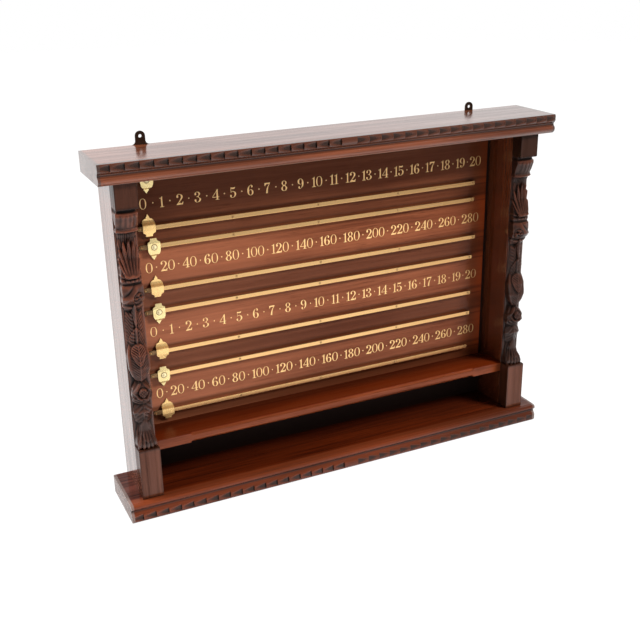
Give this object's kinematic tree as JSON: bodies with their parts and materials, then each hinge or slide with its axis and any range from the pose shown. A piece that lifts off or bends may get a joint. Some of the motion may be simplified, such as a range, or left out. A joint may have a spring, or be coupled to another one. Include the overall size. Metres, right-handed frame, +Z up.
{
  "type": "snooker scoreboard",
  "caption": "Wall-hung wooden snooker scoreboard with carved pilasters, a chalk well under a ledge, and sliding brass pointers on rails over rows of numbers.",
  "frame": {"origin": "middle of the base board's underside", "axes": "+X to the viewer's right along the case, +Y from the viewer to the wall, +Z up"},
  "size_m": [1, 0.144, 0.7664],
  "materials": {
    "mahogany": "polished",
    "carving": "polished, darkened",
    "panel": "polished",
    "rails": "aged, drawn",
    "pointers": "polished by use",
    "hangers": "dark patina",
    "screws": "aged",
    "numerals": "gilt paint"
  },
  "bodies": {
    "cabinet": {"top_board": "mahogany", "base_board": "mahogany", "side_board_left": "mahogany", "side_board_right": "mahogany", "cap_block_left": "mahogany", "cap_block_right": "mahogany", "plinth_left": "mahogany", "plinth_right": "mahogany", "ledge": "mahogany", "pilaster_left": "carving", "pilaster_right": "carving", "back_panel": "panel", "numbered_board": "panel", "rail_1_upper": "rails", "rail_1_lower": "rails", "rail_2_upper": "rails", "rail_2_lower": "rails", "rail_3_upper": "rails", "rail_3_lower": "rails", "rail_4_upper": "rails", "rail_4_lower": "rails", "rail_screws": "screws", "back_screws": "screws", "hanger_left": "hangers", "hanger_right": "hangers", "hanger_screws": "screws"},
    "pointer_1_upper": {"pointer_1_upper": "pointers", "stud_1_upper": "pointers"},
    "pointer_1_lower": {"pointer_1_lower": "pointers"},
    "pointer_2_upper": {"pointer_2_upper": "pointers", "stud_2_upper": "pointers"},
    "pointer_2_lower": {"pointer_2_lower": "pointers"},
    "pointer_3_upper": {"pointer_3_upper": "pointers", "stud_3_upper": "pointers"},
    "pointer_3_lower": {"pointer_3_lower": "pointers"},
    "pointer_4_upper": {"pointer_4_upper": "pointers", "stud_4_upper": "pointers"},
    "pointer_4_lower": {"pointer_4_lower": "pointers"}
  },
  "joints": [
    {"name": "pointer_1_upper_slide", "type": "slide", "parent": "cabinet", "child": "pointer_1_upper", "axis": [1, 0, 0], "range_m": [-0.0046, 0.75]},
    {"name": "pointer_1_lower_slide", "type": "slide", "parent": "cabinet", "child": "pointer_1_lower", "axis": [1, 0, 0], "range_m": [-0.0024, 0.7522]},
    {"name": "pointer_2_upper_slide", "type": "slide", "parent": "cabinet", "child": "pointer_2_upper", "axis": [1, 0, 0], "range_m": [-0.0091, 0.7455]},
    {"name": "pointer_2_lower_slide", "type": "slide", "parent": "cabinet", "child": "pointer_2_lower", "axis": [1, 0, 0], "range_m": [-0.0089, 0.7527]},
    {"name": "pointer_3_upper_slide", "type": "slide", "parent": "cabinet", "child": "pointer_3_upper", "axis": [1, 0, 0], "range_m": [-0.0084, 0.7462]},
    {"name": "pointer_3_lower_slide", "type": "slide", "parent": "cabinet", "child": "pointer_3_lower", "axis": [1, 0, 0], "range_m": [-0.0086, 0.746]},
    {"name": "pointer_4_upper_slide", "type": "slide", "parent": "cabinet", "child": "pointer_4_upper", "axis": [1, 0, 0], "range_m": [-0.0071, 0.7475]},
    {"name": "pointer_4_lower_slide", "type": "slide", "parent": "cabinet", "child": "pointer_4_lower", "axis": [1, 0, 0], "range_m": [-0.0104, 0.7402]}
  ]
}
